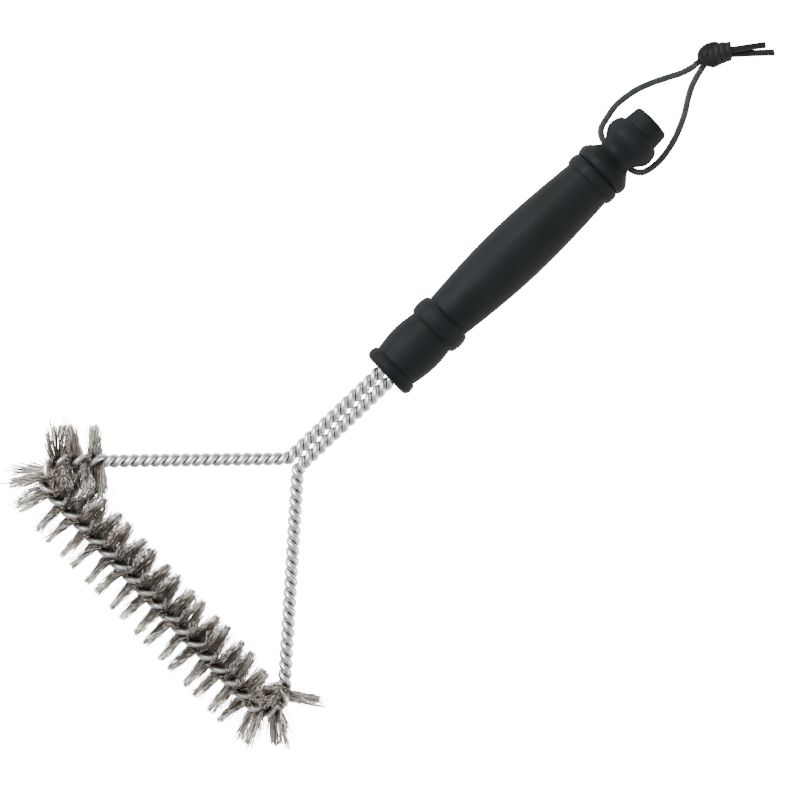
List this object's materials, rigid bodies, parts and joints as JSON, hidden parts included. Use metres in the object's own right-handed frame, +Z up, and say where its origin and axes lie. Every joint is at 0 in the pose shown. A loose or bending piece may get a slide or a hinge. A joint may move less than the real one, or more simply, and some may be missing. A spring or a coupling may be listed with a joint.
{
  "type": "grill cleaning brush",
  "caption": "Grill cleaning brush: a turned black handle, a triangular head of twisted wire with wire bristles along its base and corners, and a leather loop that swings at the handle's end.",
  "frame": {"origin": "under the middle of the brush's length and width, on the surface that it lies on, with the hanging thong left out", "axes": "+X along the handle towards its hanging end, +Y across the head towards its more bristled leg, +Z up from the surface"},
  "size_m": [0.3649, 0.1662, 0.0293],
  "materials": {
    "handle_lacquer": "turned wood under matte black lacquer",
    "resin": "cast amber resin, hidden in the handle's bore",
    "core_wire": "drawn galvanised wire, satin",
    "bristle_wire": "fine steel bristle wire with a brown-grey cast",
    "thong_leather": "black cut leather lace, matte"
  },
  "bodies": {
    "brush": {"handle": "handle_lacquer", "resin_plug": "resin", "core_wire_a": "core_wire", "core_wire_b": "core_wire", "bristle_tuft_01": "bristle_wire", "bristle_tuft_02": "bristle_wire", "bristle_tuft_03": "bristle_wire", "bristle_tuft_04": "bristle_wire", "bristle_tuft_05": "bristle_wire", "bristle_tuft_06": "bristle_wire", "bristle_tuft_07": "bristle_wire", "bristle_tuft_08": "bristle_wire", "bristle_tuft_09": "bristle_wire", "bristle_tuft_10": "bristle_wire", "bristle_tuft_11": "bristle_wire", "bristle_tuft_12": "bristle_wire", "bristle_tuft_13": "bristle_wire", "bristle_tuft_14": "bristle_wire", "bristle_tuft_15": "bristle_wire", "bristle_tuft_16": "bristle_wire", "bristle_tuft_17": "bristle_wire", "bristle_tuft_18": "bristle_wire", "bristle_tuft_19": "bristle_wire", "bristle_tuft_20": "bristle_wire", "bristle_tuft_21": "bristle_wire", "bristle_tuft_22": "bristle_wire", "bristle_tuft_23": "bristle_wire", "bristle_tuft_24": "bristle_wire"},
    "hanging_loop": {"thong_strand_left": "thong_leather", "thong_strand_right": "thong_leather", "thong_knot": "thong_leather", "thong_tail_upper": "thong_leather", "thong_tail_lower": "thong_leather"}
  },
  "joints": [
    {"name": "loop_swing", "type": "hinge", "parent": "brush", "child": "hanging_loop", "pos_m": [0.13185, 0, 0.0131], "axis": [0, -1, 0], "range_deg": [-144, 162]}
  ]
}
